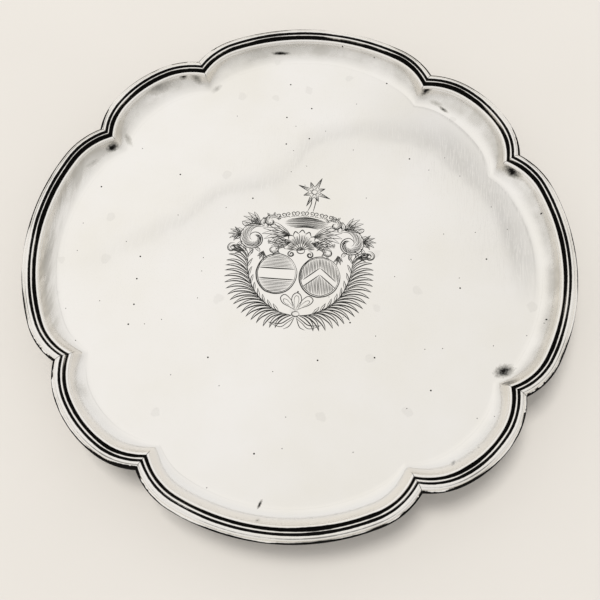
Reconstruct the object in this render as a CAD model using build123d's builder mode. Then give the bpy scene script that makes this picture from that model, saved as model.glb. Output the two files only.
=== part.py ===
"""An eight-lobed silver salver: a raised plate, a mitred cast border and four feet.

The outline is set out like a compass drawing. Each lobe is a three-centred arc: one
wide arc in the middle and a tighter arc at each end. Long and short lobes share the
same end arc, so neighbouring lobes mirror each other where they meet and the border
mouldings can be mitred there. Sizes are in millimetres, +Z is up and the feet stand
on Z = 0. The long lobes lie on the X and Y axes.
"""

from build123d import *
from math import acos, atan2, cos, degrees, radians, sin
import os

os.makedirs("parts", exist_ok=True)

# Outline of the outer edge
span = 305.0              # across two opposite long lobes
short_lobe_drop = 1.5     # a short lobe's tip stands this much inside a long lobe's
cusp_depth = 10.2         # a cusp stands this much inside a long lobe's tip
long_half_angle = 30.0    # from the middle of a long lobe to its cusp
end_lean = 5.1            # extra lean of the end arcs at a cusp, over a one-arc lobe
end_share = 0.936         # end arc's radius, as a share of the largest that fits

# Border moulding: its members from the outer edge inwards
face_width = 2.5          # stepped outer face
band_width = 1.65         # broad band on top
outer_groove_width = 0.95
bead_width = 1.1          # fine bead between the two grooves
inner_groove_width = 1.25
fillet_width = 1.3
skirt_width = 0.45        # thin inner edge
lip_height = 0.9          # upright lip at the outer edge
face_height = 2.85        # top of the stepped outer face
band_height = 3.15        # the band where it drops into the outer groove
bead_height = 2.2         # where the bead rises out of the grooves
inner_groove_floor = 0.6  # metal left under the inner groove
fillet_height = 1.0
skirt_height = 0.25
swell = 0.3               # rounding of each reed, band, groove and fillet
bead_swell = 0.54         # a bead is nearly half round

# Plate
gauge = 1.1               # thickness of the sheet
edge_setback = 0.25       # flange edge inside the border's outer face
well_depth = 8.1          # flange top to floor top
wall_run_long = 9.5       # plan width of the wall at a long lobe's tip
wall_run_short = 11.4     # plan width of the wall at a short lobe's tip
wall_run_cusp = 6.7       # plan width of the wall at a cusp
wall_slope = 68.0         # steepness of the well's wall under the border

# Feet
foot_height = 20.0        # table to the underside of the plate
foot_inset = 23.4         # edge of the floor to the middle of a foot's knee
foot_splay = 9.0          # how far the toe stands outside the knee
knee_length = 27.0        # along the radius, where the foot is soldered on
knee_width = 19.0
knee_thickness = 2.0
knee_taper = 0.86         # size of the knee's lower face, as a share of its upper face
ankle_height = 9.0
ankle_length = 7.5
ankle_width = 6.5
toe_length = 15.0
toe_width = 12.5
toe_thickness = 3.0
toe_taper = 0.9           # size of the toe's top, as a share of its widest section
sole_taper = 0.87         # size of the flat sole, as a share of the same

border_width = (
    face_width + band_width + outer_groove_width + bead_width
    + inner_groove_width + fillet_width + skirt_width
)
short_half_angle = 45.0 - long_half_angle
floor_top = foot_height + gauge
flange_top = floor_top + well_depth
wall_steps = [wall_slope * step / 4 for step in range(5)]


def octofoil(tip_long, tip_short, cusp):
    """An eight-lobed outline's tips and cusp, with the end arcs that suit its short lobes."""
    half_chord = cusp * sin(radians(short_half_angle))
    sagitta = tip_short - cusp * cos(radians(short_half_angle))
    one_arc = degrees(2 * atan2(sagitta, half_chord))
    normal = one_arc + end_lean
    end_radius = end_share * sagitta / (1 - cos(radians(normal)))
    return tip_long, tip_short, cusp, end_radius, normal - short_half_angle


def lobe_arcs(tip, cusp, half_angle, end_radius, lean):
    """Middle centre and radius, end centre and turning angle of a lobe along X."""
    normal = radians(half_angle + lean)
    end_x = cusp * cos(radians(half_angle)) - end_radius * cos(normal)
    end_y = cusp * sin(radians(half_angle)) - end_radius * sin(normal)
    reach = end_x - tip
    mid_radius = (end_radius**2 - reach**2 - end_y**2) / (2 * (reach + end_radius))
    mid_x = tip - mid_radius
    turn = degrees(atan2(end_y, end_x - mid_x))
    return mid_x, mid_radius, end_x, end_y, turn


def cusp_normal(end_x, end_y, radius, half_angle):
    """Angle at which an end arc of this radius meets the mitre line, seen from X."""
    mitre = radians(half_angle)
    across = abs(end_x * sin(mitre) - end_y * cos(mitre))
    return half_angle + 90 - degrees(acos(across / radius))


def parallel(outline, inset):
    """The same outline, moved inwards by inset."""
    tip_long, tip_short, cusp, radius, lean = outline
    end_x, end_y = lobe_arcs(tip_long, cusp, long_half_angle, radius, lean)[2:4]
    normal = cusp_normal(end_x, end_y, radius - inset, long_half_angle)
    corner = Vector(end_x, end_y) + Vector(radius - inset, 0).rotate(Axis.Z, normal)
    return (
        tip_long - inset,
        tip_short - inset,
        corner.length,
        radius - inset,
        normal - long_half_angle,
    )


def draw_octofoil(outline):
    """Draw a closed eight-lobed outline in the active BuildLine."""
    tip_long, tip_short, cusp, radius, lean = outline
    lobes = ((tip_long, long_half_angle, 0), (tip_short, short_half_angle, 45))
    for tip, half_angle, first_axis in lobes:
        mid_x, mid_radius, end_x, end_y, turn = lobe_arcs(tip, cusp, half_angle, radius, lean)
        end_turn = half_angle + lean - turn
        for axis in range(first_axis, 360, 90):
            mid_centre = Vector(mid_x, 0).rotate(Axis.Z, axis)
            left_centre = Vector(end_x, end_y).rotate(Axis.Z, axis)
            right_centre = Vector(end_x, -end_y).rotate(Axis.Z, axis)
            CenterArc(right_centre, radius, axis - turn - end_turn, end_turn)
            CenterArc(mid_centre, mid_radius, axis - turn, 2 * turn)
            CenterArc(left_centre, radius, axis + turn, end_turn)


rim_outline = octofoil(span / 2, span / 2 - short_lobe_drop, span / 2 - cusp_depth)
mouth_outline = parallel(rim_outline, border_width)
floor_outline = octofoil(
    mouth_outline[0] - wall_run_long,
    mouth_outline[1] - wall_run_short,
    mouth_outline[2] - wall_run_cusp,
)


def well_section(slope):
    """Outline and height of the well where its rounded wall has reached this slope."""
    run = sin(radians(slope)) / sin(radians(wall_slope))
    rise = (1 - cos(radians(slope))) / (1 - cos(radians(wall_slope)))
    outline = [low + run * (high - low) for low, high in zip(floor_outline, mouth_outline)]
    return outline, floor_top + rise * well_depth


# Plate: floor, rounded wall and flat flange, raised from one sheet
with BuildPart() as salver_plate:
    for slope in wall_steps:
        inner_outline, height = well_section(slope)
        outer_outline = parallel(inner_outline, -gauge * sin(radians(slope)))
        with BuildSketch(Plane.XY.offset(height - gauge * cos(radians(slope)))):
            with BuildLine():
                draw_octofoil(outer_outline)
            make_face()
    loft()
    with BuildSketch(Plane.XY.offset(flange_top)):
        with BuildLine():
            draw_octofoil(parallel(rim_outline, edge_setback))
        make_face()
    extrude(amount=-gauge)
    for slope in wall_steps:
        inner_outline, height = well_section(slope)
        with BuildSketch(Plane.XY.offset(height)):
            with BuildLine():
                draw_octofoil(inner_outline)
            make_face()
    loft(mode=Mode.SUBTRACT)
salver_plate.part.label = "salver_plate"
export_step(salver_plate.part, "parts/salver_plate.step")


def draw_border_profile():
    """Draw the border's cross-section, outer edge at X = 0, in the active BuildLine."""
    lip = Vector(0, lip_height)
    face_top = Vector(-face_width, face_height)
    face_step = (lip + face_top) / 2 - Vector(0, swell)
    band_inner = Vector(face_top.X - band_width, band_height)
    bead_outer = Vector(band_inner.X - outer_groove_width, bead_height)
    bead_inner = Vector(bead_outer.X - bead_width, bead_height)
    groove_floor = Vector(bead_inner.X - inner_groove_width / 2, inner_groove_floor)
    fillet_outer = Vector(bead_inner.X - inner_groove_width, fillet_height)
    fillet_inner = Vector(fillet_outer.X - fillet_width, fillet_height)
    skirt = Vector(-border_width, skirt_height)
    Line((0, 0), (-border_width, 0))
    Line((-border_width, 0), skirt)
    Line(skirt, fillet_inner)
    SagittaArc(fillet_inner, fillet_outer, swell)
    SagittaArc(fillet_outer, groove_floor, -swell / 2)
    SagittaArc(groove_floor, bead_inner, -swell / 2)
    SagittaArc(bead_inner, bead_outer, bead_swell)
    SagittaArc(bead_outer, band_inner, -swell)
    SagittaArc(band_inner, face_top, swell)
    SagittaArc(face_top, face_step, swell)
    SagittaArc(face_step, lip, swell)
    Line(lip, (0, 0))


def arc_plane(centre_x, centre_y, radius, angle):
    """Upright plane at the border's seat, on an arc's edge, with X pointing outwards."""
    outward = Vector(1, 0).rotate(Axis.Z, angle)
    edge = Vector(centre_x, centre_y) + outward * radius
    return Plane(
        origin=(edge.X, edge.Y, flange_top),
        x_dir=outward,
        z_dir=outward.rotate(Axis.Z, -90),
    )


def build_border_section(tip, half_angle):
    """One lobe of the border along X: three revolved runs cut to the mitre planes."""
    cusp, radius, lean = rim_outline[2:]
    mid_x, mid_radius, end_x, end_y, turn = lobe_arcs(tip, cusp, half_angle, radius, lean)
    past_mitre = half_angle + 2 * lean - turn
    runs = (
        (mid_x, 0, mid_radius, -turn, 2 * turn),
        (end_x, end_y, radius, turn, past_mitre),
        (end_x, -end_y, radius, -turn - past_mitre, past_mitre),
    )
    with BuildPart() as section:
        for centre_x, centre_y, run_radius, start, arc in runs:
            with BuildSketch(arc_plane(centre_x, centre_y, run_radius, start)):
                with BuildLine():
                    draw_border_profile()
                make_face()
            revolve(axis=Axis((centre_x, centre_y, 0), (0, 0, 1)), revolution_arc=arc)
        for side in (-1, 1):
            away = Vector(0, side).rotate(Axis.Z, side * half_angle)
            split(bisect_by=Plane(origin=(0, 0, 0), z_dir=away), keep=Keep.BOTTOM)
    return section.part


# Border: eight cast mouldings, soldered on the flange and mitred at the cusps
long_section = build_border_section(rim_outline[0], long_half_angle)
short_section = build_border_section(rim_outline[1], short_half_angle)
for number in range(4):
    for kind, section, first_axis in (("long", long_section, 0), ("short", short_section, 45)):
        name = f"{kind}_border_{number + 1}"
        with BuildPart() as border:
            with Locations(Location((0, 0, 0), (0, 0, first_axis + 90 * number))):
                add(section)
        border.part.label = name
        export_step(border.part, f"parts/{name}.step")

# Feet: four cast feet under the short lobes, leaning outwards to a flat toe
knee_reach = floor_outline[1] - foot_inset
toe_reach = knee_reach + foot_splay
foot_sections = (
    (foot_height, knee_length, knee_width, knee_reach),
    (foot_height - knee_thickness, knee_taper * knee_length, knee_taper * knee_width, knee_reach),
    (ankle_height, ankle_length, ankle_width, (knee_reach + 2 * toe_reach) / 3),
    (toe_thickness, toe_taper * toe_length, toe_taper * toe_width, toe_reach),
    (toe_thickness / 2, toe_length, toe_width, toe_reach),
    (0, sole_taper * toe_length, sole_taper * toe_width, toe_reach),
)
for number in range(4):
    with BuildPart() as foot:
        for height, length, width, reach in foot_sections:
            with BuildSketch(Plane.XY.offset(height).rotated((0, 0, 45 + 90 * number))):
                with Locations((reach, 0)):
                    Ellipse(length / 2, width / 2)
        loft()
    foot.part.label = f"foot_{number + 1}"
    export_step(foot.part, f"parts/foot_{number + 1}.step")
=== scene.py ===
# %% [markdown]
# An eight-lobed silver salver, finished in Blender.
#
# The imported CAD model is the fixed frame. It says where every piece stands and how large
# it is. The lessons below give each piece its finished surface: the raised plate with its
# hand-worked floor, the cast border with blackened grooves, the feet and the engraving.

# %% Load the frame
import random
from math import asin, atan2, ceil, copysign, cos, hypot, pi, radians, sin, sqrt

import bmesh
import bpy
from mathutils import Matrix, Quaternion, Vector, noise


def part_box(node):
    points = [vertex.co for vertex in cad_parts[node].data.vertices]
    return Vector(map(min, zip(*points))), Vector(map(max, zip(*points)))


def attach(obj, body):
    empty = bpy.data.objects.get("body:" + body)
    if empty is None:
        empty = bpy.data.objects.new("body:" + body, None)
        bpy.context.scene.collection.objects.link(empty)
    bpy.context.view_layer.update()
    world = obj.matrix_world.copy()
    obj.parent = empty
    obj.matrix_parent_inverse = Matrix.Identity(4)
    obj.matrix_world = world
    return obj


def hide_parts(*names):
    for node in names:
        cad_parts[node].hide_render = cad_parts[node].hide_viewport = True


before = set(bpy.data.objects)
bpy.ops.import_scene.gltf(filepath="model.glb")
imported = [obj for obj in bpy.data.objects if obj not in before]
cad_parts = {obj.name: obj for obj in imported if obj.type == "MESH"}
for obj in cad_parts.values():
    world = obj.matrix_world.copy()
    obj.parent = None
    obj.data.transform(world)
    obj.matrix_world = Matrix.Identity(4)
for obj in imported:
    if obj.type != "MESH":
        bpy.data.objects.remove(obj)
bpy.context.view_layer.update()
MM = 0.001
print("pieces in the frame:", ", ".join(sorted(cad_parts)))

# %% [markdown]
# The salver's outline is a compass drawing. Each lobe is one wide arc with a tighter arc
# at either end, and all lobes share the same end arc. Every piece of the salver follows
# that outline at its own distance, so the drawing is written once, as a few functions.
# The long tips and the heights are read from the frame. The drop of the short tips, the
# depth of the cusps, the lean and share of the end arcs and the widths of the border's
# members and of the well's wall are set here.

# %% Compass drawing of the outline
LONG_HALF = radians(30)
SHORT_HALF = radians(15)
QUARTER = pi / 2
END_LEAN = radians(5.1)
END_SHARE = 0.936
CUSP_DEPTH = 10.2 * MM
SHORT_DROP = 1.5 * MM


def octofoil(tip_long, tip_short, cusp):
    """An outline as tips, cusp, end radius and the lean of the end arcs at a cusp."""
    half_chord = cusp * sin(SHORT_HALF)
    sagitta = tip_short - cusp * cos(SHORT_HALF)
    normal = 2 * atan2(sagitta, half_chord) + END_LEAN
    end_radius = END_SHARE * sagitta / (1 - cos(normal))
    return tip_long, tip_short, cusp, end_radius, normal - SHORT_HALF


def lobe_arcs(outline, is_long):
    """Middle centre and radius, end centre and turning angle of one lobe along X."""
    tip = outline[0] if is_long else outline[1]
    half = LONG_HALF if is_long else SHORT_HALF
    cusp, end_radius, lean = outline[2:]
    end_x = cusp * cos(half) - end_radius * cos(half + lean)
    end_y = cusp * sin(half) - end_radius * sin(half + lean)
    reach = end_x - tip
    mid_radius = (end_radius**2 - reach**2 - end_y**2) / (2 * (reach + end_radius))
    mid_x = tip - mid_radius
    return mid_x, mid_radius, end_x, end_y, atan2(end_y, end_x - mid_x)


def parallel(outline, inset):
    """The same outline, moved inwards by inset."""
    tip_long, tip_short, _, end_radius, _ = outline
    end_x, end_y = lobe_arcs(outline, True)[2:4]
    across = abs(end_x * sin(LONG_HALF) - end_y * cos(LONG_HALF))
    along = end_x * cos(LONG_HALF) + end_y * sin(LONG_HALF)
    radius = end_radius - inset
    new_cusp = along + sqrt(radius**2 - across**2)
    new_lean = asin(across / radius)
    return tip_long - inset, tip_short - inset, new_cusp, radius, new_lean


def blend_outlines(low, high, share):
    return tuple(a + share * (b - a) for a, b in zip(low, high))


def radius_at(outline, angle):
    """Distance from the salver's centre to the outline, at an angle from +X."""
    from_long = abs((angle + QUARTER / 2) % QUARTER - QUARTER / 2)
    is_long = from_long <= LONG_HALF
    local = from_long if is_long else QUARTER / 2 - from_long
    mid_x, mid_radius, end_x, end_y, turn = lobe_arcs(outline, is_long)
    join = atan2(mid_radius * sin(turn), mid_x + mid_radius * cos(turn))
    x, y, radius = (mid_x, 0, mid_radius) if local <= join else (end_x, end_y, outline[3])
    along = x * cos(local) + y * sin(local)
    return along + sqrt(along**2 - x**2 - y**2 + radius**2)


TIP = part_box("long_border_1")[1][0]
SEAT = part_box("long_border_1")[0][2]
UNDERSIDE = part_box("foot_1")[1][2]
GAUGE = 1.1 * MM
FLOOR = UNDERSIDE + GAUGE
rim_outline = octofoil(TIP, TIP - SHORT_DROP, TIP - CUSP_DEPTH)
print("outer cusps at", round(rim_outline[2] / MM, 1), "mm from the centre")

# %% [markdown]
# Modelling here is done as by hand: a primitive is added, shaped in edit mode and then
# finished. An operator works on everything that is selected, and the frame's nodes are
# selected after loading, so each piece starts by clearing the selection.

# %% Small helpers for working by hand
def clear_selection():
    if bpy.context.object and bpy.context.object.mode != "OBJECT":
        bpy.ops.object.mode_set(mode="OBJECT")
    bpy.ops.object.select_all(action="DESELECT")


def name_piece(name):
    piece = bpy.context.object
    piece.name = name
    piece.data.name = name
    return piece


def select_only(piece):
    clear_selection()
    piece.select_set(True)
    bpy.context.view_layer.objects.active = piece


def apply_place(piece):
    select_only(piece)
    bpy.ops.object.transform_apply(location=True, rotation=True, scale=True)


def mend(piece, distance=0.00001):
    """Merge doubles and turn all faces outwards."""
    select_only(piece)
    bpy.ops.object.mode_set(mode="EDIT")
    bpy.ops.mesh.select_all(action="SELECT")
    bpy.ops.mesh.remove_doubles(threshold=distance)
    bpy.ops.mesh.normals_make_consistent(inside=False)
    bpy.ops.object.mode_set(mode="OBJECT")


def report_piece(piece):
    print(piece.name, "has", len(piece.data.polygons), "faces")


# %% [markdown]
# The border is a cast moulding. From the outer edge inwards its members are a stepped
# face of two reeds, a broad band, a groove, a fine bead, a deeper groove and a fillet.
# A caster would pull a strip of this section around each lobe, so the section is drawn
# here as a chain of short edges, one extrusion after another, and then spun around the
# lobe's three centres. The spun ends run past the mitre and are cut back there.

# %% Section of the border
FACE_W = 2.5 * MM
BAND_W = 1.65 * MM
OUTER_GROOVE_W = 0.95 * MM
BEAD_W = 1.1 * MM
INNER_GROOVE_W = 1.25 * MM
FILLET_W = 1.3 * MM
SKIRT_W = 0.45 * MM
LIP_H = 0.9 * MM
FACE_H = 2.85 * MM
BAND_H = 3.15 * MM
BEAD_H = 2.2 * MM
GROOVE_H = 0.6 * MM
FILLET_H = 1.0 * MM
SKIRT_H = 0.25 * MM
SWELL = 0.3 * MM
BEAD_SWELL = 1.8 * SWELL
BORDER_W = FACE_W + BAND_W + OUTER_GROOVE_W + BEAD_W + INNER_GROOVE_W + FILLET_W + SKIRT_W


def swelled(start, end, rise, steps):
    """Points after start on an arc to end that rises by rise over its chord."""
    chord = end - start
    half = chord.length / 2
    radius = (half**2 + rise**2) / (2 * abs(rise))
    side = Vector((-chord.y, chord.x)).normalized() * copysign(1, rise)
    centre = (start + end) / 2 + side * (abs(rise) - radius)
    spread = asin(min(1, half / radius))
    if abs(rise) > half:
        spread = pi - spread
    spread *= -copysign(1, rise)
    first = start - centre
    turns = [2 * spread * step / steps for step in range(1, steps + 1)]
    return [centre + Matrix.Rotation(turn, 2) @ first for turn in turns]


def border_section():
    """The border's outline as points: x outwards from the edge, y up from the seat."""
    lip = Vector((0, LIP_H))
    face_top = Vector((-FACE_W, FACE_H))
    face_step = (lip + face_top) / 2 - Vector((0, SWELL))
    band_inner = Vector((face_top.x - BAND_W, BAND_H))
    bead_outer = Vector((band_inner.x - OUTER_GROOVE_W, BEAD_H))
    bead_inner = Vector((bead_outer.x - BEAD_W, BEAD_H))
    groove = Vector((bead_inner.x - INNER_GROOVE_W / 2, GROOVE_H))
    fillet_outer = Vector((bead_inner.x - INNER_GROOVE_W, FILLET_H))
    fillet_inner = Vector((fillet_outer.x - FILLET_W, FILLET_H))
    points = [Vector((0, 0)), Vector((-BORDER_W, 0)), Vector((-BORDER_W, SKIRT_H)), fillet_inner]
    points += swelled(fillet_inner, fillet_outer, SWELL, 8)
    points += swelled(fillet_outer, groove, -SWELL / 2, 5)
    points += swelled(groove, bead_inner, -SWELL / 2, 6)
    points += swelled(bead_inner, bead_outer, BEAD_SWELL, 10)
    points += swelled(bead_outer, band_inner, -SWELL, 7)
    points += swelled(band_inner, face_top, SWELL, 8)
    points += swelled(face_top, face_step, SWELL, 6)
    points += swelled(face_step, lip, SWELL, 6)
    return points


section = border_section()
print("the section has", len(section), "points, width", round(BORDER_W / MM, 2), "mm")

# %% Spin a lobe of the border and cut its mitres
def draw_section(centre, radius, angle):
    """Draw the section as a closed chain of edges, upright on an arc's edge."""
    outward = Vector((cos(angle), sin(angle), 0))
    places = [centre + outward * (radius + p.x) + Vector((0, 0, SEAT + p.y)) for p in section]
    bpy.ops.mesh.primitive_plane_add(size=MM, location=places[0])
    bpy.ops.object.mode_set(mode="EDIT")
    bpy.ops.mesh.merge(type="CENTER")
    for before, after in zip(places, places[1:] + places[:1]):
        bpy.ops.mesh.extrude_region_move(TRANSFORM_OT_translate={"value": after - before})
    bpy.ops.mesh.select_all(action="SELECT")
    bpy.ops.mesh.remove_doubles(threshold=0.001 * MM)


MIDDLE_STEP = radians(1)
END_STEP = radians(2.5)


def spin_about(centre, angle, step):
    """Spin the selected chain, and leave its new end selected."""
    bpy.ops.mesh.spin(
        steps=ceil(abs(angle) / step), angle=-angle, center=centre, axis=(0, 0, 1)
    )


def border_lobe(name, is_long):
    mid_x, mid_radius, end_x, end_y, turn = lobe_arcs(rim_outline, is_long)
    end_radius, lean = rim_outline[3:]
    half = LONG_HALF if is_long else SHORT_HALF
    past_mitre = half + 1.6 * lean - turn
    clear_selection()
    draw_section(Vector((end_x, -end_y, 0)), end_radius, -turn - past_mitre)
    spin_about((end_x, -end_y, 0), past_mitre, END_STEP)
    spin_about((mid_x, 0, 0), 2 * turn, MIDDLE_STEP)
    spin_about((end_x, end_y, 0), past_mitre, END_STEP)
    for side in (-1, 1):
        bpy.ops.mesh.select_all(action="SELECT")
        bpy.ops.mesh.bisect(
            plane_co=(0, 0, 0),
            plane_no=(-sin(half), side * cos(half), 0),
            use_fill=True,
            clear_outer=True,
        )
    bpy.ops.object.mode_set(mode="OBJECT")
    piece = name_piece(name)
    apply_place(piece)
    mend(piece)
    report_piece(piece)
    return piece


long_pattern = border_lobe("long_lobe", True)
short_pattern = border_lobe("short_lobe", False)

# %% [markdown]
# A casting never leaves the file with knife-sharp edges. A fine bevel rounds every arris,
# and it also opens a hairline at each mitre, where a real solder joint shows. Tarnish
# will later settle in the grooves and joints, and painted shade will darken the outer lip,
# most near the cusps, so each point remembers how far it stands from the outer edge and
# from the nearest mitre, as two attributes on the mesh.

# %% Soften the arrises and mark the grooves
def soften(piece):
    """Round every arris with a fine bevel."""
    select_only(piece)
    bpy.ops.object.modifier_add(type="BEVEL")
    bevel = piece.modifiers[-1]
    bevel.width = 0.07 * MM
    bevel.segments = 2
    bevel.limit_method = "ANGLE"
    bevel.angle_limit = radians(38)
    bpy.ops.object.modifier_apply(modifier=bevel.name)
    bpy.ops.object.shade_smooth_by_angle(angle=radians(50))


def write_attribute(piece, name, values):
    layer = piece.data.attributes.new(name, "FLOAT", "POINT")
    layer.data.foreach_set("value", values)


def mark_border(piece, is_long):
    """Write each point's distance in mm from the outer edge and from the mitre."""
    mid_x, mid_radius, end_x, end_y, turn = lobe_arcs(rim_outline, is_long)
    half = LONG_HALF if is_long else SHORT_HALF
    insets, seams = [], []
    for vertex in piece.data.vertices:
        x, y = vertex.co.x, abs(vertex.co.y)
        if atan2(y, x - mid_x) <= turn:
            inset = mid_radius - hypot(x - mid_x, y)
        else:
            inset = rim_outline[3] - hypot(x - end_x, y - end_y)
        insets.append(inset / MM)
        seams.append((x * sin(half) - y * cos(half)) / MM)
    write_attribute(piece, "inset", insets)
    write_attribute(piece, "seam", seams)
    print(piece.name, "inset from", round(min(insets), 2), "to", round(max(insets), 2), "mm")


for pattern, is_long in ((long_pattern, True), (short_pattern, False)):
    soften(pattern)
    mark_border(pattern, is_long)
    report_piece(pattern)

# %% Set the eight lobes around the rim
def turned_copy(pattern, name, angle):
    """A copy with its own mesh, turned about the salver's middle."""
    select_only(pattern)
    bpy.ops.object.duplicate()
    piece = name_piece(name)
    piece.rotation_euler.z = angle
    apply_place(piece)
    return piece


border_pieces = []
for number in range(4):
    for kind, pattern, first in (("long", long_pattern, 0), ("short", short_pattern, 45)):
        angle = radians(first + 90 * number)
        piece = turned_copy(pattern, f"{kind}_lobe_moulding_{number + 1}", angle)
        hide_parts(f"{kind}_border_{number + 1}")
        border_pieces.append(piece)
for pattern in (long_pattern, short_pattern):
    bpy.data.objects.remove(pattern)
print(len(border_pieces), "mouldings around the rim")

# %% [markdown]
# The plate is raised by hammer from one sheet: a wide floor, a rounded wall and a flat
# flange that carries the border. It could be lofted, but a sheet raised by hand is best
# thought of as rings. Every ring here is one loop of points on fixed spokes, extruded
# from the ring before and laid on its outline. The spokes crowd towards the cusps, where
# the wall has a fold. Real floors are never quite flat, so each height gets a slow swell
# of a tenth of a millimetre or two, the same on both faces.

# %% Rings of the plate
LONG_SPOKES = 60
SHORT_SPOKES = 32
SPOKES = 4 * (LONG_SPOKES + SHORT_SPOKES)
WALL_SLOPE = radians(68)
FOLD_SOFTNESS = radians(0.35)
CROWDING = 1.45
EDGE_SETBACK = 0.25
EDGE_ROUND = 0.2
mouth_outline = parallel(rim_outline, BORDER_W)
floor_outline = octofoil(
    mouth_outline[0] - 9.5 * MM, mouth_outline[1] - 11.4 * MM, mouth_outline[2] - 6.7 * MM
)


def spoke_angle(number):
    """Angle of a numbered spoke, starting at the cusp before the long lobe on +X."""
    quarter, place = divmod(number, LONG_SPOKES + SHORT_SPOKES)
    if place < LONG_SPOKES:
        middle, half, share = 0, LONG_HALF, 2 * place / LONG_SPOKES - 1
    else:
        middle, half = LONG_HALF + SHORT_HALF, SHORT_HALF
        share = 2 * (place - LONG_SPOKES) / SHORT_SPOKES - 1
    return quarter * QUARTER + middle + half * sin(CROWDING * share) / sin(CROWDING)


def floor_swell(x, y):
    """Slow unevenness of the hand-worked sheet, fading to nothing at the wall."""
    reach = hypot(x, y) / floor_outline[2]
    slow = noise.noise(Vector((x, y, 0)) / (75 * MM) + Vector((3.1, 7.7, 0.4)))
    quick = noise.noise(Vector((x, y, 0)) / (34 * MM) + Vector((9.2, 1.3, 5.5)))
    return (0.42 * slow + 0.11 * quick) * MM * max(0, 1 - reach**4)


def wall_ring(slope):
    """Outline and height where the rounded wall has reached this slope."""
    run = sin(slope) / sin(WALL_SLOPE)
    rise = (1 - cos(slope)) / (1 - cos(WALL_SLOPE))
    return blend_outlines(floor_outline, mouth_outline, run), FLOOR + rise * (SEAT - FLOOR)


def lay_ring(outline, height, share=1):
    """Lay the selected ring of points on an outline, each point on its own spoke."""
    mesh = bmesh.from_edit_mesh(bpy.context.object.data)
    for vertex in mesh.verts:
        if vertex.select:
            angle = atan2(vertex.co.y, vertex.co.x)
            near = [radius_at(outline, angle + step * FOLD_SOFTNESS) for step in (-1, 0, 1)]
            radius = share * (near[0] + 2 * near[1] + near[2]) / 4
            x, y = radius * cos(angle), radius * sin(angle)
            vertex.co = (x, y, height + floor_swell(x, y))
    bmesh.update_edit_mesh(bpy.context.object.data)


def plate_rings():
    """Every ring as outline, height and share of the outline's radius, top face first."""
    floor_shares = [((step + 1) / 48) ** 0.85 for step in range(47)]
    rings = [(floor_outline, FLOOR, share) for share in floor_shares]
    slopes = [WALL_SLOPE * step / 18 for step in range(19)]
    rings += [(*wall_ring(slope), 1) for slope in slopes]
    edge = parallel(rim_outline, EDGE_SETBACK * MM)
    flange = [parallel(rim_outline, inset * MM) for inset in (7, 4, EDGE_SETBACK + EDGE_ROUND)]
    rings += [(outline, SEAT, 1) for outline in flange]
    rings += [(edge, SEAT - EDGE_ROUND * MM, 1), (edge, SEAT - GAUGE + EDGE_ROUND * MM, 1)]
    rings += [(outline, SEAT - GAUGE, 1) for outline in reversed(flange)]
    for slope in reversed(slopes):
        outline, height = wall_ring(slope)
        below = parallel(outline, -GAUGE * sin(slope))
        rings.append((below, min(height, SEAT) - GAUGE * cos(slope), 1))
    rings += [(floor_outline, UNDERSIDE, share) for share in reversed(floor_shares)]
    return rings


rings = plate_rings()
print(len(rings), "rings of", SPOKES, "points")

# %% Raise the plate
def close_pole():
    bpy.ops.mesh.extrude_region_move()
    bpy.ops.mesh.merge(type="CENTER")


def select_open_edges():
    bpy.ops.mesh.select_all(action="DESELECT")
    mesh = bmesh.from_edit_mesh(bpy.context.object.data)
    for edge in mesh.edges:
        if edge.is_boundary:
            edge.select_set(True)
    bmesh.update_edit_mesh(bpy.context.object.data)


START_RADIUS = 5 * MM
clear_selection()
bpy.ops.mesh.primitive_circle_add(vertices=SPOKES, radius=START_RADIUS)
bpy.ops.object.mode_set(mode="EDIT")
mesh = bmesh.from_edit_mesh(bpy.context.object.data)
for number, vertex in enumerate(mesh.verts):
    angle = spoke_angle(number)
    vertex.co = (cos(angle) * START_RADIUS, sin(angle) * START_RADIUS, FLOOR)
for outline, height, share in rings:
    lay_ring(outline, height, share)
    if (outline, height, share) != rings[-1]:
        bpy.ops.mesh.extrude_region_move()
close_pole()
select_open_edges()
close_pole()
bpy.ops.object.mode_set(mode="OBJECT")
plate = name_piece("raised_plate")
apply_place(plate)
mend(plate, 0.002 * MM)
bpy.ops.object.shade_smooth_by_angle(angle=radians(80))
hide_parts("salver_plate")
report_piece(plate)

# %% [markdown]
# Four cast feet stand under the short lobes. Each has a broad shaped knee soldered to the
# plate, a slim ankle with a collar and a flat round toe that leans outwards. It could be
# turned on a lathe only if it stood upright. This one leans, so a round turning is built
# first, one extruded ring under another, and each ring is then stretched and shifted.

# %% Model one foot
FOOT_RINGS = (
    # height, length, width, reach from the salver's middle, waviness of the edge
    (20.02, 27.8, 19.8, 107.0, 0.07), (19.7, 27.0, 19.0, 107.0, 0.07),
    (19.2, 26.6, 18.7, 107.0, 0.07), (18.7, 25.4, 17.8, 107.1, 0.06),
    (17.9, 22.0, 15.6, 107.6, 0.05), (16.6, 17.8, 13.2, 108.6, 0.035),
    (14.8, 13.8, 11.0, 110.0, 0.02), (12.6, 10.4, 8.8, 111.5, 0.01), (10.4, 8.3, 7.2, 112.6, 0),
    (8.6, 7.5, 6.5, 113.3, 0), (7.0, 7.7, 6.7, 113.9, 0), (5.9, 8.7, 7.6, 114.5, 0),
    (5.3, 10.6, 9.2, 115.0, 0), (5.0, 11.6, 10.0, 115.3, 0), (4.6, 11.9, 10.3, 115.5, 0),
    (4.3, 11.4, 9.9, 115.6, 0), (3.9, 12.2, 10.5, 115.8, 0), (3.2, 13.8, 11.7, 116.0, 0),
    (2.3, 14.8, 12.4, 116.0, 0), (1.4, 15.0, 12.5, 116.0, 0), (0.6, 14.6, 12.1, 116.0, 0),
    (0.15, 13.7, 11.4, 116.0, 0), (0.0, 12.9, 10.8, 116.0, 0),
)
KNEE_SCALLOPS = 5
BRIGHT_INSET = 3.3  # an inset on the border's band, where no line of tarnish lies


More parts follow.
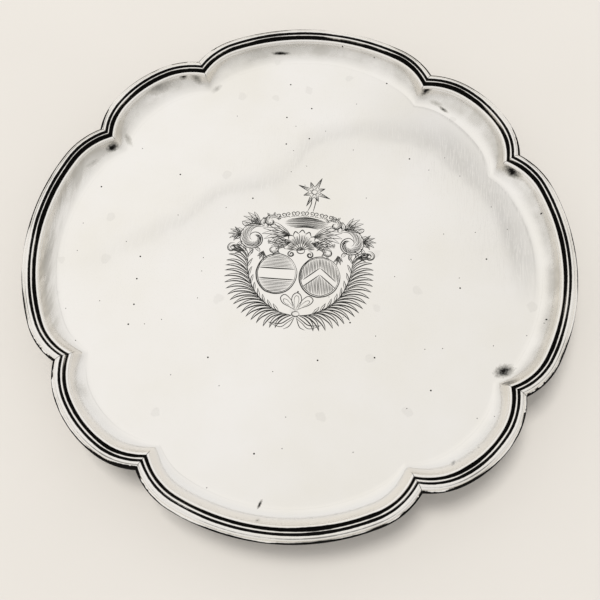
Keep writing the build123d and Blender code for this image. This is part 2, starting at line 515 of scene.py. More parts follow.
def turned_blank():
    """A round bar of plain rings, closed at both ends."""
    clear_selection()
    bpy.ops.mesh.primitive_circle_add(vertices=56, radius=1)
    bpy.ops.object.mode_set(mode="EDIT")
    for _ in FOOT_RINGS[1:]:
        bpy.ops.mesh.extrude_region_move(TRANSFORM_OT_translate={"value": (0, 0, -1)})
    close_pole()
    select_open_edges()
    close_pole()
    bpy.ops.object.mode_set(mode="OBJECT")


turned_blank()
foot_pattern = name_piece("foot_pattern")
for vertex in foot_pattern.data.vertices:
    number = round(-vertex.co.z)
    height, length, width, reach, waviness = FOOT_RINGS[number]
    angle = atan2(vertex.co.y, vertex.co.x)
    swell = (1 + waviness * cos(KNEE_SCALLOPS * angle)) * vertex.co.xy.length
    x, y = swell * length / 2 * cos(angle), swell * width / 2 * sin(angle)
    vertex.co = Vector((reach + x, y, height)) * MM
mend(foot_pattern)
bpy.ops.object.shade_smooth_by_angle(angle=radians(60))
depths = [(UNDERSIDE - vertex.co.z) / MM for vertex in foot_pattern.data.vertices]
write_attribute(foot_pattern, "inset", [BRIGHT_INSET] * len(depths))
write_attribute(foot_pattern, "seam", depths)
feet = []
for number in range(4):
    angle = (number + 0.5) * QUARTER
    foot = turned_copy(foot_pattern, f"cast_foot_{number + 1}", angle)
    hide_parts(f"foot_{number + 1}")
    feet.append(foot)
bpy.data.objects.remove(foot_pattern)
report_piece(feet[0])

# %% [markdown]
# The middle of the floor carries an engraved ornament in the armorial manner: two oval
# shields among scrolled leaves, between two palm fronds tied with a ribbon. The fields on
# the shields are plain heraldic hatching and belong to nobody. An engraver's cut swells
# as the graver is pressed and ends in a point, so every line here is one tapered stroke.
# A curve with a radius at each point is just that. All strokes are drawn flat in
# millimetres, turned into one mesh and laid on the floor.

# %% An engraver's stroke
MIDDLE = 1.0
hand = random.Random(1741)
strokes = []


def cut(points, width, both=False):
    """Cut a stroke through points, and its mirror image if asked for both."""
    shaken = [(x + hand.gauss(0, 0.07), y + hand.gauss(0, 0.07)) for x, y in points]
    strokes.append((shaken, width))
    if both:
        cut([(2 * MIDDLE - x, y) for x, y in points], width)


def polar(x, y, angle, distance):
    return x + distance * cos(angle), y + distance * sin(angle)


def bent_leaf(x, y, heading, bend, length, plump, width, vein=0.5, both=True):
    """A narrow leaf that bends evenly: a bold side, a finer side and perhaps a vein."""
    spine = [(x, y)]
    for step in range(4):
        spine.append(polar(*spine[-1], heading + bend * (step + 0.5) / 4, length / 4))
    for side, weight in ((1, 1), (-1, 0.7)):
        edge = []
        for step, point in enumerate(spine):
            sideways = heading + bend * step / 4 + pi / 2
            edge.append(polar(*point, sideways, side * plump * sin(pi * step / 4)))
        cut(edge, weight * width, both)
    if vein:
        cut(spine[:4], vein * width, both)


def plume(x, y, heading, spread, count, length, bend):
    """A fan of bent leaves from one foot, longest in the middle."""
    for number in range(count):
        share = number / (count - 1) - 0.5
        reach = length * (1 - 0.8 * share * share)
        bent_leaf(x, y, heading + spread * share, bend + 0.6 * share, reach, 0.075 * reach, 0.4)


TIGHTENING = 0.86


def spiral_points(x, y, radius, start, turns):
    """A volute that winds inwards from its radius."""
    steps = ceil(abs(turns) * 12)
    angles = [start + 2 * pi * turns * step / steps for step in range(steps + 1)]
    return [
        polar(x, y, angle, radius * (1 - TIGHTENING * step / steps))
        for step, angle in enumerate(angles)
    ]


def swirl(x, y, radius, start, turns, lobes, width=0.5):
    """A scrolled leaf: a volute, strands combed into it and bent lobes outside."""
    turn = copysign(1, turns)
    cut(spiral_points(x, y, radius, start, turns), width, True)
    strands = round(2.2 * radius)
    for strand in range(strands):
        angle = start + turn * 5.6 * strand / strands
        outer = radius * (0.95 - 0.5 * strand / strands)
        comb = [
            polar(x, y, angle + turn * 0.5 * step, outer * (1 - 0.22 * step)) for step in range(4)
        ]
        cut(comb, (0.72 - 0.2 * (strand % 2)) * width, True)
    for lobe in range(lobes):
        angle = start + turn * (0.1 + 4.4 * lobe / lobes)
        share = TIGHTENING * (angle - start) / (2 * pi * turns)
        reach = 0.55 * radius * (1 - 0.6 * share)
        foot = polar(x, y, angle, radius * (0.96 - share))
        bent_leaf(*foot, angle + 1.1 * turn, -0.9 * turn, reach, 0.2 * reach, 0.85 * width)


def ring(x, y, half_width, half_height, width):
    """A closed oval, cut a little past its own start."""
    angles = [2 * pi * step / 28 + 0.4 for step in range(30)]
    cut([(x + half_width * cos(a), y + half_height * sin(a)) for a in angles], width)


def along(points, share):
    """Place and heading at a share of the way along a smooth line."""
    place = share * (len(points) - 1)
    number = min(int(place), len(points) - 2)
    return smooth_point(points, number, place - number)


def smooth_point(points, number, share):
    """Place and heading on the smooth line between a numbered point and the next."""
    last = len(points) - 1
    before, start, end, after = (
        Vector(points[min(max(index, 0), last)]) for index in range(number - 1, number + 3)
    )
    pull, lift = (end - before) / 2, (after - start) / 2
    place = (
        (2 * share**3 - 3 * share**2 + 1) * start + (share**3 - 2 * share**2 + share) * pull
        + (3 * share**2 - 2 * share**3) * end + (share**3 - share**2) * lift
    )
    heading = (
        (6 * share**2 - 6 * share) * start + (3 * share**2 - 4 * share + 1) * pull
        + (6 * share - 6 * share**2) * end + (3 * share**2 - 2 * share) * lift
    )
    return place, atan2(heading.y, heading.x)


print("the engraver's hand is ready")

# %% [markdown]
# The two fronds rise from the ribbon and close around the shields. A palm frond is one
# stem with a narrow leaf at every step, longer in the middle than at either end.

# %% Fronds and ribbon
STEM = [(1, -33.5), (-8, -31.8), (-16.5, -27), (-23.5, -19.5), (-27.6, -9), (-28.6, 2.5)]
LEAVES = 20
cut(STEM, 0.5, True)
for number in range(LEAVES):
    share = 0.06 + 0.92 * number / LEAVES
    (x, y), heading = along(STEM, share)
    length = 11.5 + 6.5 * sin(pi * share)
    bent_leaf(x, y, heading + 0.2, 1.4, length, 0.75, 0.62, 0)
    if number > 2 and number % 2:
        bent_leaf(x, y, heading - 0.35, -0.35, 6, 0.5, 0.4, 0)

SIDE_RIBBON = (
    # width of the stroke and the points it runs through
    (0.42, [(1, -30), (4, -24.5), (7.5, -21.5), (10, -23.5), (8.5, -26.5), (4.5, -28.5),
            (1, -30.5)]),
    (0.26, [(3, -28), (6, -24.6), (8.2, -24.2), (7.5, -26.3), (4.5, -27.7)]),
    (0.5, [(1.5, -33.5), (5, -36), (9, -38.5), (15.5, -38)]),
    (0.36, [(1.5, -34.5), (5, -37.5), (9, -40.4), (15.5, -38)]),
    (0.4, [(1.5, -34), (2.5, -37), (4, -40), (7, -41.5)]),
)
UPPER_LOOP = (
    (0.42, [(0.2, -30.5), (-1.6, -25), (-1.2, -21.5), (1, -20), (3.2, -21.5), (3.6, -25),
            (1.8, -30.5)]),
    (0.26, [(0.7, -29), (-0.3, -25), (0, -22.5), (1, -21.6), (2, -22.5), (2.3, -25), (1.3, -29)]),
)
for side in (1, -1):
    for width, points in SIDE_RIBBON:
        cut([(MIDDLE + side * (x - MIDDLE), y) for x, y in points], width)
for width, points in UPPER_LOOP:
    cut(points, width)
ring(MIDDLE, -32.4, 2.0, 1.5, 0.45)
print(len(strokes), "strokes after fronds and ribbon")

# %% [markdown]
# The shields are double ovals. On the left the field is hatched across around a plain
# band, and on the right it is hatched upright around a plain chevron.

# %% Shields
HALF_W = 10.6
HALF_H = 11.3
LEFT_SHIELD = (-11.5, -9.3)
RIGHT_SHIELD = (12.7, -9.6)
MARGIN = 0.3
BAND_HALF = 3.1
CHEVRON_PEAK = 3.4
CHEVRON_HALF = 2.1
CHEVRON_SLOPE = 0.85


def chord(offset, half_across, half_along):
    """Half length of a straight line across an oval, at an offset from its middle."""
    return half_along * sqrt(max(0, 1 - (offset / half_across) ** 2))


for shield in (LEFT_SHIELD, RIGHT_SHIELD):
    ring(*shield, HALF_W, HALF_H, 0.34)
    ring(*shield, HALF_W + 0.75, HALF_H + 0.75, 0.62)

x, y = LEFT_SHIELD
for number in range(-13, 14):
    offset = 0.86 * number
    reach = chord(offset, HALF_H, HALF_W) - MARGIN
    if abs(offset) > BAND_HALF + MARGIN and reach > 0.5:
        cut([(x - reach, y + offset), (x + reach, y + offset)], 0.3)
for edge in (-BAND_HALF, BAND_HALF):
    reach = chord(edge, HALF_H, HALF_W)
    cut([(x - reach, y + edge), (x, y + edge), (x + reach, y + edge)], 0.5)

x, y = RIGHT_SHIELD
for number in range(-12, 13):
    offset = 0.84 * number
    reach = chord(offset, HALF_W, HALF_H) - MARGIN
    peak = CHEVRON_PEAK - CHEVRON_SLOPE * abs(offset)
    clear = CHEVRON_HALF + MARGIN
    for low, high in ((peak + clear, reach), (-reach, peak - clear)):
        if high - low > 0.8:
            cut([(x + offset, y + low), (x + offset, y + high)], 0.34)
for lift in (-CHEVRON_HALF, CHEVRON_HALF):
    top = y + CHEVRON_PEAK + lift
    for side in (-1, 1):
        run = 0.88 * HALF_W
        end = (x + side * run, top - CHEVRON_SLOPE * run)
        cut([end, (x + side * run / 2, (end[1] + top) / 2), (x, top)], 0.5)
print(len(strokes), "strokes with the shields")

# %% [markdown]
# Scrolled leaves fill both sides above the shields and meet at a fan shell. Over the
# shell a cushion with a curled fringe carries a plain eight-pointed star.

# %% Scrolled leaves
swirl(-26.4, 11.6, 9.8, 0.9, 1.5, 9, 0.46)
swirl(-14.8, 5.6, 4.6, 2.4, -1.2, 5, 0.38)
swirl(-17.5, 22.8, 4.8, 0.2, 1.25, 6, 0.4)
for x, y, heading, spread, count, length, bend in (
    (-5.5, 14.5, 2.75, 0.75, 6, 17, 0.55),
    (-5.0, 10.5, 3.35, 0.7, 5, 12.5, -0.35),
    (-23.0, 20.0, 2.45, 0.9, 5, 12.0, 0.5),
    (-33.5, 13.5, 2.9, 1.3, 5, 8.0, 0.5),
    (-31.5, 4.0, 3.3, 0.9, 4, 6.5, -0.5),
    (-20.0, 4.0, 4.3, 0.9, 4, 6.0, 0.6),
):
    plume(x, y, heading, spread, count, length, bend)
for x, y, radius in ((-38.0, 4.8, 3.2), (-4.2, 3.2, 2.3)):
    cut(spiral_points(x, y, radius, 1.2, 1.5), 0.5, True)
    cut(spiral_points(x, y, 0.78 * radius, 1.6, 1.2), 0.32, True)
print(len(strokes), "strokes with the scrolled leaves")

# %% Shell, cushion and star
SHELL_FOOT = (MIDDLE, 5.6)
for number in range(-4, 5):
    heading = pi / 2 + 0.34 * number
    reach = 13 - 0.6 * abs(number)
    left, right = (polar(*SHELL_FOOT, heading + side * 0.17, 0.84 * reach) for side in (1, -1))
    cut([SHELL_FOOT, polar(*SHELL_FOOT, heading + 0.17, 0.4 * reach), left], 0.42)
    cut([left, polar(*SHELL_FOOT, heading, reach), right], 0.55)
    for side in (-0.07, 0, 0.07):
        rib = [polar(*SHELL_FOOT, heading + side, distance) for distance in (4, 0.76 * reach)]
        cut(rib, 0.24)
ring(*SHELL_FOOT, 2.2, 1.8, 0.5)

CUSHION = (MIDDLE + 2, 23.6)
for number in range(-5, 6):
    offset = 0.62 * number
    reach = chord(offset, 3.8, 12.5)
    x, y = CUSHION[0], CUSHION[1] + offset
    cut([(x - reach, y - 0.9), (x, y), (x + reach, y - 0.9)], 0.3 + 0.04 * abs(number))
for number in range(-6, 7):
    x, y = CUSHION[0] + 2.7 * number, CUSHION[1] + 5.6 - 0.07 * number**2
    turns = 1.25 if number % 2 else -1.25
    cut(spiral_points(x, y, 1.55, -1.6, turns), 0.38)
    cut([(x - 1.2, y - 2.0), (x, y - 1.4), (x + 1.2, y - 2.0)], 0.32)

STAR = (MIDDLE + 5, 43.5)
for number in range(8):
    heading = pi / 8 + number * pi / 4
    reach = 10.5 if number % 2 else 6.8
    for side in (1, -1):
        cut([polar(*STAR, heading + side * pi / 8, 3.0), polar(*STAR, heading, reach)], 0.42)
    cut([polar(*STAR, heading, 1.5), polar(*STAR, heading, 0.85 * reach)], 0.26)
    for step in range(4):
        foot = polar(*STAR, heading, 2.4 + 1.3 * step)
        cut([foot, polar(*foot, heading + 1.9, 1.0 - 0.2 * step)], 0.2)
ring(*STAR, 1.5, 1.5, 0.42)
for lean in (-1, 1):
    foot = (STAR[0] - 1.5 + 1.6 * lean, 30.5)
    cut([polar(*STAR, -1.57 + 0.5 * lean, 3.5), (STAR[0] + 1.3 * lean, 36), foot], 0.42)
print(len(strokes), "strokes in all")

# %% Turn the strokes into metal
GRAVER = 0.62 * MM
RELIEF = 0.18
POINTED = 0.12


def engrave():
    """One mesh of all strokes: tapered tubes, pressed flat and laid on the floor."""
    clear_selection()
    drawing = bpy.data.curves.new("strokes", "CURVE")
    drawing.dimensions = "3D"
    drawing.bevel_depth = GRAVER
    drawing.bevel_resolution = 0
    drawing.use_fill_caps = True
    for points, width in strokes:
        steps = max(8, 5 * (len(points) - 1))
        spline = drawing.splines.new("POLY")
        spline.points.add(steps)
        for number, point in enumerate(spline.points):
            share = number / steps
            place, _ = along(points, share)
            point.co = (place.x * MM, place.y * MM, 0, 1)
            pressure = sin(pi * share) ** 0.6
            point.radius = width * (POINTED + (1 - POINTED) * pressure)
        spline.use_smooth = True
    sheet = bpy.data.objects.new("strokes", drawing)
    bpy.context.collection.objects.link(sheet)
    select_only(sheet)
    bpy.ops.object.convert(target="MESH")
    piece = name_piece("engraved_ornament")
    piece.scale.z = RELIEF
    apply_place(piece)
    mend(piece, 0.0005 * MM)
    for vertex in piece.data.vertices:
        vertex.co.z += FLOOR + floor_swell(vertex.co.x, vertex.co.y)
    report_piece(piece)
    return piece


ornament = engrave()

# %% [markdown]
# A material is a small graph of nodes. Most of the graphs below are one idea repeated: a
# texture in millimetre-sized steps, a ramp that picks out part of it, and a socket that
# it drives. A few helpers keep them short enough to read.

# %% Helpers for node graphs
def set_inputs(tree, node, inputs):
    """Give inputs their values or links, by name, or by number as in0, in1, in2."""
    for name, value in inputs.items():
        numbered = name.startswith("in") and name[2:].isdigit()
        socket = node.inputs[int(name[2:]) if numbered else name]
        if isinstance(value, bpy.types.NodeSocket):
            tree.links.new(value, socket)
        else:
            socket.default_value = value


def add_node(tree, kind, settings=None, **inputs):
    node = tree.nodes.new("ShaderNode" + kind)
    for name, value in (settings or {}).items():
        setattr(node, name, value)
    set_inputs(tree, node, inputs)
    return node


def ramp(tree, factor, *stops):
    """A grey ramp from (position, value) stops."""
    node = add_node(tree, "ValToRGB", Fac=factor)
    colours = node.color_ramp.elements
    while len(colours) < len(stops):
        colours.new(1)
    for element, (position, value) in zip(colours, stops):
        element.position = position
        element.color = (value, value, value, 1)
    return node.outputs["Color"]


def calc(tree, operation, first, second=0.0, third=0.0):
    """One sum on up to three values or sockets."""
    settings = {"operation": operation}
    node = add_node(tree, "Math", settings, in0=first, in1=second, in2=third)
    return node.outputs[0]


def mix_colours(tree, share, first, second):
    """The first colour where share is 0 and the second where it is 1."""
    settings = {"data_type": "RGBA"}
    node = add_node(tree, "Mix", settings, Factor=share, A=first, B=second)
    return node.outputs["Result"]


def mapped(tree, place, kind="POINT", **settings):
    """The place after a shift, turn and stretch, given as Location, Rotation and Scale."""
    node = add_node(tree, "Mapping", {"vector_type": kind}, Vector=place, **settings)
    return node.outputs["Vector"]


def vector_measure(tree, operation, first, second=(0, 0, 0)):
    """A number measured on vectors: LENGTH, DISTANCE or DOT_PRODUCT."""
    settings = {"operation": operation}
    node = add_node(tree, "VectorMath", settings, in0=first, in1=second)
    return node.outputs["Value"]


def noise_at(tree, place, size, detail=3.0, roughness=0.5):
    """Noise whose lumps are about this size across."""
    return add_node(
        tree, "TexNoise", Vector=place, Scale=1 / size, Detail=detail, Roughness=roughness
    ).outputs["Fac"]


# %% [markdown]
# Old silver is never one grey. Handling leaves broad, faint differences of polish, the
# floor is crossed by fine scratches from two centuries of cleaning, and firestain and
# tarnish warm it in patches. Feathered marks, mostly on the wall, are partly tarnish and
# partly painted reflection: the greys the wall mirrors, painted into its colour. The wall
# also keeps a thin film, cloudy all round and streaked at the left end, that is partly
# tarnish and partly painted shade, darkest at the back; its front is painted lighter, a
# painted reflection of the bright tent. The colour stays near white and the roughness
# does most of the work, because on a mirror the eye reads polish before hue.

# %% Silver that has been polished for many years
SILVER = (0.935, 0.902, 0.855, 1)
WARM_SILVER = (0.90, 0.862, 0.79, 1)
# A lighter silver, painted on the front of the wall as a painted reflection of the bright tent.
PAINTED_LIGHT_SILVER = (0.965, 0.943, 0.91, 1)
# The darkest colour, used for real tarnish and for painted shade alike.
TARNISH_AND_SHADE_DARK = (0.012, 0.011, 0.010, 1)


def start_material(name):
    """A new material, its node tree, its shader and the place on the object."""
    material = bpy.data.materials.new(name)
    material.use_nodes = True
    tree = material.node_tree
    shader = tree.nodes["Principled BSDF"]
    place = add_node(tree, "TexCoord").outputs["Object"]
    return material, tree, shader, place


def silver_colour(tree, place, tarnish_and_shade):
    """Near-white silver, warmer in faint patches and dark where tarnish_and_shade is 1, which
    mixes real darkening with painted shade.
    """
    patches = ramp(tree, noise_at(tree, place, 45 * MM, 4), (0.35, 0), (0.75, 1))
    patches = calc(tree, "MAXIMUM", patches, calc(tree, "MULTIPLY", tarnish_and_shade, 4))
    patchy = mix_colours(tree, patches, SILVER, WARM_SILVER)
    return mix_colours(tree, tarnish_and_shade, patchy, TARNISH_AND_SHADE_DARK)


def set_metal(tree, shader, colour, rough, height, strength, depth):
    """Wire colour, roughness and fine relief into a bare metal."""
    bump = add_node(tree, "Bump", Strength=strength, Distance=depth, Height=height)
    inputs = {"Base Color": colour, "Roughness": rough, "Normal": bump.outputs["Normal"]}
    set_inputs(tree, shader, {**inputs, "Metallic": 1})


def scratches(tree, place, size, turn):
    """Long thin noise, as left by wiping one way."""
    stretched = mapped(tree, place, Rotation=(0, 0, turn), Scale=(1, 0.04, 1))
    return ramp(tree, noise_at(tree, stretched, size, 2), (0.60, 0), (0.68, 1))


def pits(tree, place, spacing, radius, share):
    """Small dark pits: one in each kept cell of a Voronoi pattern."""
    flat = {"voronoi_dimensions": "2D"}
    cells = add_node(tree, "TexVoronoi", flat, Vector=place, Scale=1 / spacing)
    centre_near = ramp(
        tree, cells.outputs["Distance"], (0.7 * radius / spacing, 1), (radius / spacing, 0)
    )
    chance = add_node(tree, "SeparateColor", Color=cells.outputs["Color"])
    kept = calc(tree, "LESS_THAN", chance.outputs["Red"], share)
    return calc(tree, "MULTIPLY", centre_near, kept)


def feathered_mark(tree, place, middle, size, turn, strength):
    """One feathered mark: densest in its middle and ragged towards its edge."""
    own = mapped(
        tree, place, "TEXTURE",
        Location=(middle[0] * MM, middle[1] * MM, FLOOR),
        Rotation=(0, 0, radians(turn)),
        Scale=(size[0] * MM / 2, size[1] * MM / 2, 1),
    )
    ragged = noise_at(tree, place, 1.5 * MM, 5, 0.8)
    reach = calc(tree, "ADD", vector_measure(tree, "LENGTH", own), ragged)
    half = calc(tree, "MULTIPLY", reach, 0.5)
    return ramp(tree, half, (0.20, 1.6 * strength), (0.42, 0.8 * strength), (0.66, 0))


# These marks lie mostly on the wall. They are partly tarnish and partly painted reflection: the
# greys that the wall mirrors, painted into its colour.
WALL_MARKS_AND_REFLECTION_GREYS = (
    # middle, length and width in mm, turn in degrees, strength
    ((-22, 138), (19, 2.6), 7, 1.0),
    ((-116, 62.5), (12, 4.6), 35, 1.0),
    ((-109, 71.5), (16, 6), -58, 0.35),
    ((-126, 52), (24, 5), 48, 0.28),
    ((-72, 113.5), (14, 5.5), -18, 0.5),
    ((-59.5, 111), (11, 5), 49, 0.3),
    ((-79, 113.5), (9, 3.6), 24, 1.0),
    ((-94, 105), (38, 9), 29, 0.4),
    ((69, 114), (11, 3.6), 21, 1.0),
    ((75.5, 109), (15, 4), -20, 0.3),
    ((80, 105.5), (10, 3), -37, 0.7),
    ((119, 62), (19, 5), -35, 0.9),
    ((114, -56), (16, 10), 20, 0.9),
    ((87, -106.5), (5.5, 2.4), 60, 1.0),
    ((-8.5, -134), (7, 2.2), 67, 1.0),
    ((-108, -84), (20, 9), -55, 0.25),
    ((-40, 136), (75, 8), 12, 0.20),
    ((45, 136), (75, 8), -12, 0.18),
    ((118, 20), (70, 14), 96, 0.035),
)


STAIN_STRENGTH = 0.06
SCRATCHES_DULL = 0.05
MARKS_DULL = 0.3
WALL_DULL = 0.17


def floor_marks(tree, place):
    """Pits, faint round stains and feathered marks as one amount of darkening; the feathered
    marks are partly painted reflection greys.
    """
    wobble = add_node(tree, "TexNoise", Vector=place, Scale=1 / (7 * MM), Detail=4.0)
    shifted = add_node(
        tree, "VectorMath", {"operation": "MULTIPLY_ADD"},
        in0=wobble.outputs["Color"], in1=(6 * MM, 6 * MM, 6 * MM), in2=place,
    )
    stains = pits(tree, shifted.outputs["Vector"], 22 * MM, 2.8 * MM, 0.22)
    marks = calc(tree, "MULTIPLY", stains, STAIN_STRENGTH)
    for spacing, radius, share in ((15, 0.55, 0.12), (9, 0.3, 0.08)):
        spots = pits(tree, place, spacing * MM, radius * MM, share)
        marks = calc(tree, "MAXIMUM", marks, spots)
    for mark in WALL_MARKS_AND_REFLECTION_GREYS:
        marks = calc(tree, "MAXIMUM", marks, feathered_mark(tree, place, *mark))
    return marks


def wall_film_and_shade(tree, place, front, left):
    """Dull coat on the wall, partly the metal's own and partly painted shade: cloudy except in
    front, and in streaks at the left end.
    """
    cloudy = ramp(tree, noise_at(tree, place, 22 * MM, 4, 0.6), (0.36, 0.02), (0.66, 0.25))
    cloudy = calc(tree, "MULTIPLY", cloudy, ramp(tree, front, (0.2, 1), (0.85, 0.15)))
    drawn = mapped(tree, place, Scale=(1, 0.1, 0))
    streaks = ramp(tree, noise_at(tree, drawn, 3 * MM, 4, 0.6), (0.38, 0.06), (0.62, 0.36))
    streaks = calc(tree, "MULTIPLY", streaks, ramp(tree, left, (0.76, 0), (0.90, 1)))
    return calc(tree, "MAXIMUM", cloudy, streaks)


def plate_silver():
    material, tree, shader, place = start_material("raised_silver_finish")
    split = add_node(tree, "SeparateXYZ", Vector=place)
    front = calc(tree, "DIVIDE", split.outputs["Y"], -TIP)
    left = calc(tree, "DIVIDE", split.outputs["X"], -TIP)
    lift = calc(tree, "SUBTRACT", split.outputs["Z"], FLOOR)
    wall = ramp(tree, calc(tree, "DIVIDE", lift, SEAT - FLOOR), (0.02, 0), (0.3, 1))
    # The wall's film is partly tarnish and partly painted shade, darkest at the back, where the
    # wall mirrors the dark front of the tent.
    film_and_shade = calc(tree, "MULTIPLY", wall, wall_film_and_shade(tree, place, front, left))
    marks = calc(tree, "MAXIMUM", floor_marks(tree, place), film_and_shade)
    # The front of the wall is mixed towards a lighter silver: a painted reflection of the bright
    # tent.
    painted_light_front = calc(tree, "MULTIPLY", wall, ramp(tree, front, (0.3, 0), (0.9, 0.85)))
    colour = mix_colours(tree, painted_light_front, silver_colour(tree, place, marks), PAINTED_LIGHT_SILVER)
    wipes = [scratches(tree, place, size * MM, turn) for size, turn in ((0.5, 0.6), (0.4, 2.2))]
    wiped = calc(tree, "MAXIMUM", *wipes)
    rough = ramp(tree, noise_at(tree, place, 30 * MM, 5, 0.6), (0.3, 0.02), (0.7, 0.07))
    for cause, amount in ((wiped, SCRATCHES_DULL), (marks, MARKS_DULL), (wall, WALL_DULL)):
        rough = calc(tree, "MULTIPLY_ADD", cause, amount, rough)
    hammered = calc(tree, "MULTIPLY", wall, noise_at(tree, place, 11 * MM, 1))
    height = calc(tree, "MULTIPLY_ADD", wiped, -0.3, noise_at(tree, place, 16 * MM, 2))
    height = calc(tree, "MULTIPLY_ADD", hammered, 5, height)
    set_metal(tree, shader, colour, rough, height, 0.10, 0.08 * MM)
    return material


TARNISH_AND_SHADE_LINES = (
    # inset, half width, fade and wander of the edge in mm, spread in the cusps, strength
    (4.60, 0.56, 0.15, 1.4, 0, 1),
    (6.84, 0.70, 0.20, 2.0, 0, 1),
    # The line at the outer lip is painted shade: the dark reflection of the shadowed table below
    # the rim, widened near the cusps.
    (0.00, 0.60, 0.20, 3.6, 1, 1),
    (2.55, 0.04, 0.12, 1.5, 0, 0.6),
    (1.25, 0.00, 0.10, 1.0, 0, 0.4),
)
RAGGEDNESS = 0.3
CUSP_REACH = 40


def border_silver():
    material, tree, shader, place = start_material("cast_silver_finish")
    inset = add_node(tree, "Attribute", {"attribute_name": "inset"}).outputs["Fac"]
    seam = add_node(tree, "Attribute", {"attribute_name": "seam"}).outputs["Fac"]
    slow = calc(tree, "SUBTRACT", noise_at(tree, place, 38 * MM, 3), 0.5)
    ragged = calc(tree, "SUBTRACT", noise_at(tree, place, 1.8 * MM, 3), 0.5)
    # Near the cusps the painted shade at the lip spreads wider; only the lip line takes this
    # spread.
    from_cusp = calc(tree, "DIVIDE", seam, CUSP_REACH)
    cusp_shade_spread = ramp(tree, from_cusp, (0.02, 1.1), (0.3, 0.7), (0.7, 0))
    broken = ramp(tree, noise_at(tree, place, 17 * MM, 4, 0.7), (0.44, 0), (0.54, 1))
    cusp_shade_spread = calc(tree, "MULTIPLY", cusp_shade_spread, broken)
    dark = ramp(tree, seam, (0.06, 1), (0.18, 0))
    for middle, reach, fade, wander, spread, strength in TARNISH_AND_SHADE_LINES:
        off = calc(tree, "ABSOLUTE", calc(tree, "SUBTRACT", inset, middle))
        for cause, amount in ((slow, wander), (ragged, RAGGEDNESS), (cusp_shade_spread, spread)):
            off = calc(tree, "MULTIPLY_ADD", cause, -amount, off)
        half = calc(tree, "DIVIDE", off, 2)
        line = ramp(tree, half, (reach / 2, 1), ((reach + fade) / 2, 0))
        dark = calc(tree, "MAXIMUM", dark, calc(tree, "MULTIPLY", line, strength))
    polish = ramp(tree, noise_at(tree, place, 9 * MM, 5, 0.6), (0.3, 0.14), (0.7, 0.32))
    rough = calc(tree, "MULTIPLY_ADD", dark, 0.35, polish)
    colour, height = silver_colour(tree, place, dark), noise_at(tree, place, 1.6 * MM, 4)
    set_metal(tree, shader, colour, rough, height, 0.25, 0.05 * MM)
    return material


FRESH_LINE = (0.012, 0.012, 0.011, 1)
WORN_LINE = (0.07, 0.068, 0.062, 1)


def engraved_line():
    material, tree, shader, place = start_material("engraved_line")
    worn = ramp(tree, noise_at(tree, place, 6 * MM, 4, 0.6), (0.35, 0), (0.7, 1))
    colour = mix_colours(tree, worn, FRESH_LINE, WORN_LINE)
    rough = ramp(tree, worn, (0, 0.85), (1, 0.6))
    inputs = {"Base Color": colour, "Roughness": rough, "Specular IOR Level": 0.15}
    set_inputs(tree, shader, inputs)
    return material


raised_silver = plate_silver()
cast_silver = border_silver()
dark_line = engraved_line()


def finish(piece, material):
    """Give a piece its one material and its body."""
    piece.data.materials.clear()
    piece.data.materials.append(material)
    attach(piece, "root")


finish(plate, raised_silver)
finish(ornament, dark_line)
for piece in border_pieces + feet:
    finish(piece, cast_silver)
print("finishes:", raised_silver.name, cast_silver.name)

# %% [markdown]
# A mirror shows its room, so the room is part of the finish. The salver stands on a pale
# table in a white tent. The tent is brightest overhead and behind, and falls off towards
# the front and the horizon, which puts the soft greys into the wall of the well. A soft
# fold hangs in its roof, straight on one side and rounded on the other, and the floor
# mirrors it as one wavy grey line. A large soft lamp high above, a little behind and to
# the left, throws the pale shadow forwards.

# %% Table, tent and lamp
TABLE_LIGHT = (0.555, 0.53, 0.495, 1)
TABLE_DARK = (0.54, 0.515, 0.48, 1)
TABLE_SIDE = 3
TABLE_GAP = 0.1 * MM


def table_finish():
    material, tree, shader, place = start_material("pale_table")
    grain = ramp(tree, noise_at(tree, place, 180 * MM, 3), (0.3, 0), (0.7, 1))
    colour = mix_colours(tree, grain, TABLE_LIGHT, TABLE_DARK)
    inputs = {"Base Color": colour, "Roughness": 0.9, "Specular IOR Level": 0.1}
    set_inputs(tree, shader, inputs)
    return material


clear_selection()
bpy.ops.mesh.primitive_plane_add(size=TABLE_SIDE, location=(0, 0, -TABLE_GAP))
table = name_piece("table")
table.data.materials.append(table_finish())

BRIGHTEST = Vector((-0.35, 0.45, 0.80)).normalized()
SLANT_NORMAL = (-0.56, 0.83, 0)
SLANT_OFFSET = 0.295
ROUND_MIDDLE = (0.05, 0.44, 0)
WAVE_SIZE = 0.11
WAVE_HEIGHT = 0.05


def roof_fold(tree, direction):
    """Darkness of the fold, drawn on a flat roof one unit above the salver."""
    split = add_node(tree, "SeparateXYZ", Vector=direction)
    up = calc(tree, "MAXIMUM", split.outputs["Z"], 0.05)
    across = calc(tree, "DIVIDE", split.outputs["X"], up)
    back = calc(tree, "DIVIDE", split.outputs["Y"], up)
    on_roof = add_node(tree, "CombineXYZ", X=across, Y=back).outputs["Vector"]
    rounded = vector_measure(tree, "DISTANCE", on_roof, ROUND_MIDDLE)
    slant = vector_measure(tree, "DOT_PRODUCT", on_roof, SLANT_NORMAL)
    slant = calc(tree, "SUBTRACT", slant, SLANT_OFFSET)
    turn = ramp(tree, calc(tree, "ADD", across, 0.5), (0.40, 0), (0.55, 1))
    off = calc(tree, "MULTIPLY_ADD", turn, calc(tree, "SUBTRACT", rounded, slant), slant)
    off = calc(tree, "MULTIPLY_ADD", noise_at(tree, on_roof, WAVE_SIZE, 2), WAVE_HEIGHT, off)
    seam = ramp(tree, off, (0.17, 0), (0.242, 0.03), (0.249, 0.13), (0.262, 0.08), (0.285, 0))
    shade = ramp(tree, off, (0.245, 0), (0.258, 0.13), (0.37, 0))
    on_right = ramp(tree, across, (0.0, 0), (0.15, 1))
    fold = calc(tree, "MULTIPLY_ADD", shade, on_right, seam)
    return calc(tree, "MULTIPLY", fold, ramp(tree, back, (0.38, 0), (0.47, 1)))


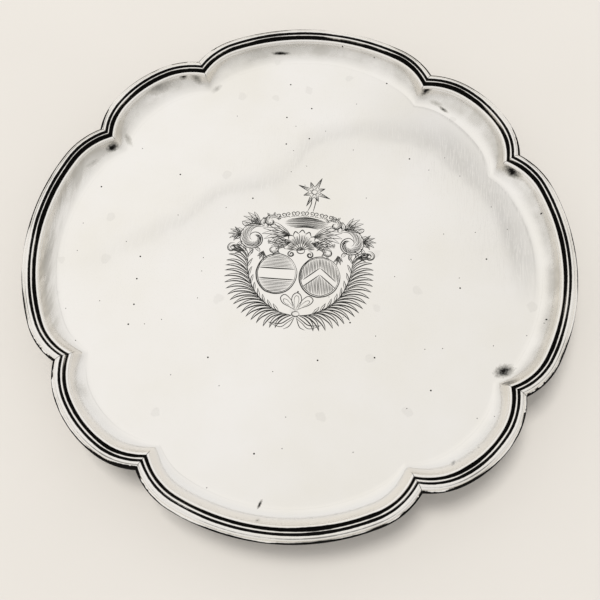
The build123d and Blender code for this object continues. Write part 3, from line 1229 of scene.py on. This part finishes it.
def light_tent():
    """A world that glows by direction, less the fold in its roof."""
    world = bpy.data.worlds.new("light_tent")
    world.use_nodes = True
    tree = world.node_tree
    direction = add_node(tree, "TexCoord").outputs["Generated"]
    towards = vector_measure(tree, "DOT_PRODUCT", direction, BRIGHTEST)
    glow = ramp(
        tree, calc(tree, "MULTIPLY_ADD", towards, 0.5, 0.5),
        (0.0, 0.45), (0.45, 0.75), (0.62, 0.84), (0.86, 0.87), (0.93, 0.90), (1.0, 0.955),
    )
    light = calc(tree, "SUBTRACT", glow, roof_fold(tree, direction))
    tree.links.new(light, tree.nodes["Background"].inputs["Color"])
    return world


bpy.context.scene.world = light_tent()

LAMP_PLACE = Vector((-1.0, 0.95, 5.85))
LAMP_SIDE = 1.8
LAMP_POWER = 264
LAMP_COLOUR = (1, 0.985, 0.96)
bpy.ops.object.light_add(type="AREA", location=LAMP_PLACE)
lamp = bpy.context.object
lamp.name = "window_lamp"
lamp.data.shape = "RECTANGLE"
lamp.data.size = LAMP_SIDE
lamp.data.size_y = LAMP_SIDE
lamp.data.energy = LAMP_POWER
lamp.data.color = LAMP_COLOUR
lamp.visible_glossy = False
lamp.rotation_euler = (-LAMP_PLACE).to_track_quat("-Z", "Y").to_euler()
print("tent and lamp are up, lamp", round(LAMP_PLACE.length, 2), "m away")

# %% Camera
CAMERA_PLACE = Vector((0.01846, -0.16018, 0.39308))
CAMERA_AIM = Vector((0.00327, -0.02723, 0.0298))
CAMERA_ROLL = radians(-2.07)
CAMERA_LENS = 43.13
CAMERA_SENSOR = 36
bpy.ops.object.camera_add(location=CAMERA_PLACE)
camera = bpy.context.object
aim = (CAMERA_AIM - CAMERA_PLACE).to_track_quat("-Z", "Y")
camera.rotation_euler = (aim @ Quaternion((0, 0, 1), CAMERA_ROLL)).to_euler()
camera.data.lens = CAMERA_LENS
camera.data.sensor_width = CAMERA_SENSOR
bpy.context.scene.camera = camera
bpy.context.scene.view_settings.view_transform = "Standard"
print("camera right is", [round(v, 3) for v in camera.matrix_basis.to_3x3().col[0]])
